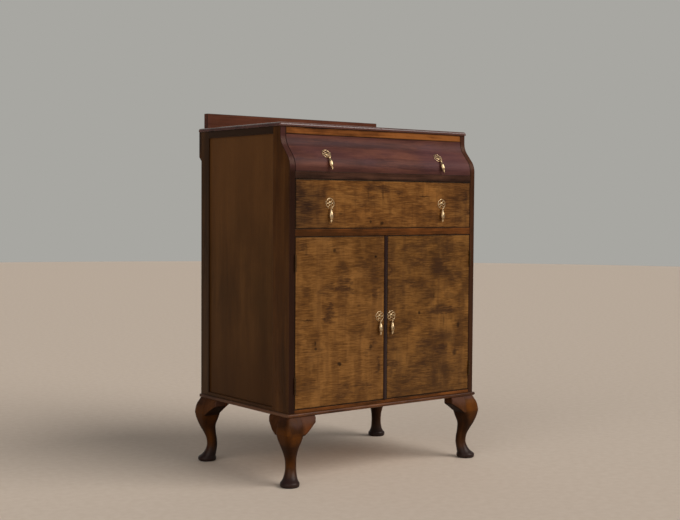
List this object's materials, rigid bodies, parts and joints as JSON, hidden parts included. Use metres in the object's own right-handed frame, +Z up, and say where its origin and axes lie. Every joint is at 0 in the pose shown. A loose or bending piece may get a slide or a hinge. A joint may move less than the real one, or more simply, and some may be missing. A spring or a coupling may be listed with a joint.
{
  "type": "tallboy",
  "caption": "Tallboy on cabriole legs with an ogee-fronted drawer over a flat drawer and cupboard doors, panelled sides, a low upstand at the back and brass drop handles.",
  "frame": {"origin": "on the floor under the middle of the case", "axes": "+Z up, the front with drawers and doors faces -Y, +X to the right seen from the front"},
  "size_m": [0.7978, 0.5378, 1.15],
  "materials": {
    "case_wood": "dark polished wood",
    "rail_wood": "reddish polished wood",
    "leg_wood": "dark polished wood",
    "front_veneer": "polished figured veneer",
    "ogee_veneer": "polished reddish veneer",
    "bead_wood": "dark polished wood",
    "inner_wood": "plain unpolished wood",
    "handle_brass": "pale aged brass",
    "hinge_brass": "dull brass"
  },
  "bodies": {
    "carcass": {"left_front_stile": "case_wood", "right_front_stile": "case_wood", "left_rear_stile": "case_wood", "right_rear_stile": "case_wood", "side_rails": "case_wood", "left_side_panel": "case_wood", "right_side_panel": "case_wood", "top_board": "case_wood", "upstand": "case_wood", "back_top_rail": "case_wood", "frieze_rail": "rail_wood", "upper_drawer_rail": "rail_wood", "lower_drawer_rail": "rail_wood", "base_rail": "rail_wood", "base_front_rail": "rail_wood", "base_frame_rails": "rail_wood", "front_left_leg": "leg_wood", "front_right_leg": "leg_wood", "rear_left_leg": "leg_wood", "rear_right_leg": "leg_wood", "front_knee_blocks": "leg_wood", "rear_knee_blocks": "leg_wood", "back_panel": "inner_wood", "dust_board": "inner_wood", "cupboard_floor": "inner_wood", "shelf": "inner_wood", "shelf_bearers": "inner_wood", "drawer_runners": "inner_wood", "drawer_kickers": "inner_wood", "stop_blocks": "inner_wood", "hinge_fixed_leaves": "hinge_brass", "hinge_pins": "hinge_brass"},
    "upper_drawer": {"upper_drawer_front": "ogee_veneer", "upper_drawer_sides": "inner_wood", "upper_drawer_back": "inner_wood", "upper_drawer_bottom": "inner_wood", "upper_drawer_rosettes": "handle_brass", "upper_drawer_handle_bolts": "handle_brass"},
    "lower_drawer": {"lower_drawer_front": "front_veneer", "lower_drawer_sides": "inner_wood", "lower_drawer_back": "inner_wood", "lower_drawer_bottom": "inner_wood", "lower_drawer_rosettes": "handle_brass", "lower_drawer_handle_bolts": "handle_brass"},
    "left_door": {"left_door": "front_veneer", "left_door_hinge_leaves": "hinge_brass", "left_door_rosette": "handle_brass", "left_door_handle_bolt": "handle_brass", "meeting_bead": "bead_wood"},
    "right_door": {"right_door": "front_veneer", "right_door_hinge_leaves": "hinge_brass", "right_door_rosette": "handle_brass", "right_door_handle_bolt": "handle_brass"},
    "upper_drawer_left_drop": {"upper_drawer_left_drop": "handle_brass"},
    "upper_drawer_right_drop": {"upper_drawer_right_drop": "handle_brass"},
    "lower_drawer_left_drop": {"lower_drawer_left_drop": "handle_brass"},
    "lower_drawer_right_drop": {"lower_drawer_right_drop": "handle_brass"},
    "left_door_drop": {"left_door_drop": "handle_brass"},
    "right_door_drop": {"right_door_drop": "handle_brass"}
  },
  "joints": [
    {"name": "upper_drawer_slide", "type": "slide", "parent": "carcass", "child": "upper_drawer", "axis": [0, -1, 0], "range_m": [0, 0.3]},
    {"name": "lower_drawer_slide", "type": "slide", "parent": "carcass", "child": "lower_drawer", "axis": [0, -1, 0], "range_m": [0, 0.3]},
    {"name": "left_door_hinge", "type": "hinge", "parent": "carcass", "child": "left_door", "pos_m": [-0.3606, -0.2542, 0.495], "axis": [0, 0, -1], "range_deg": [0, 110]},
    {"name": "right_door_hinge", "type": "hinge", "parent": "carcass", "child": "right_door", "pos_m": [0.3606, -0.2542, 0.495], "axis": [0, 0, 1], "range_deg": [0, 110]},
    {"name": "upper_drawer_left_drop_swing", "type": "hinge", "parent": "upper_drawer", "child": "upper_drawer_left_drop", "pos_m": [-0.2305, -0.24668, 0.99969], "axis": [-1, 0, 0], "range_deg": [0, 90]},
    {"name": "upper_drawer_right_drop_swing", "type": "hinge", "parent": "upper_drawer", "child": "upper_drawer_right_drop", "pos_m": [0.2305, -0.24668, 0.99969], "axis": [-1, 0, 0], "range_deg": [0, 90]},
    {"name": "lower_drawer_left_drop_swing", "type": "hinge", "parent": "lower_drawer", "child": "lower_drawer_left_drop", "pos_m": [-0.2305, -0.258, 0.8415], "axis": [-1, 0, 0], "range_deg": [0, 90]},
    {"name": "lower_drawer_right_drop_swing", "type": "hinge", "parent": "lower_drawer", "child": "lower_drawer_right_drop", "pos_m": [0.2305, -0.258, 0.8415], "axis": [-1, 0, 0], "range_deg": [0, 90]},
    {"name": "left_door_drop_swing", "type": "hinge", "parent": "left_door", "child": "left_door_drop", "pos_m": [-0.0305, -0.258, 0.4855], "axis": [-1, 0, 0], "range_deg": [0, 90]},
    {"name": "right_door_drop_swing", "type": "hinge", "parent": "right_door", "child": "right_door_drop", "pos_m": [0.018, -0.258, 0.4855], "axis": [-1, 0, 0], "range_deg": [0, 90]}
  ]
}
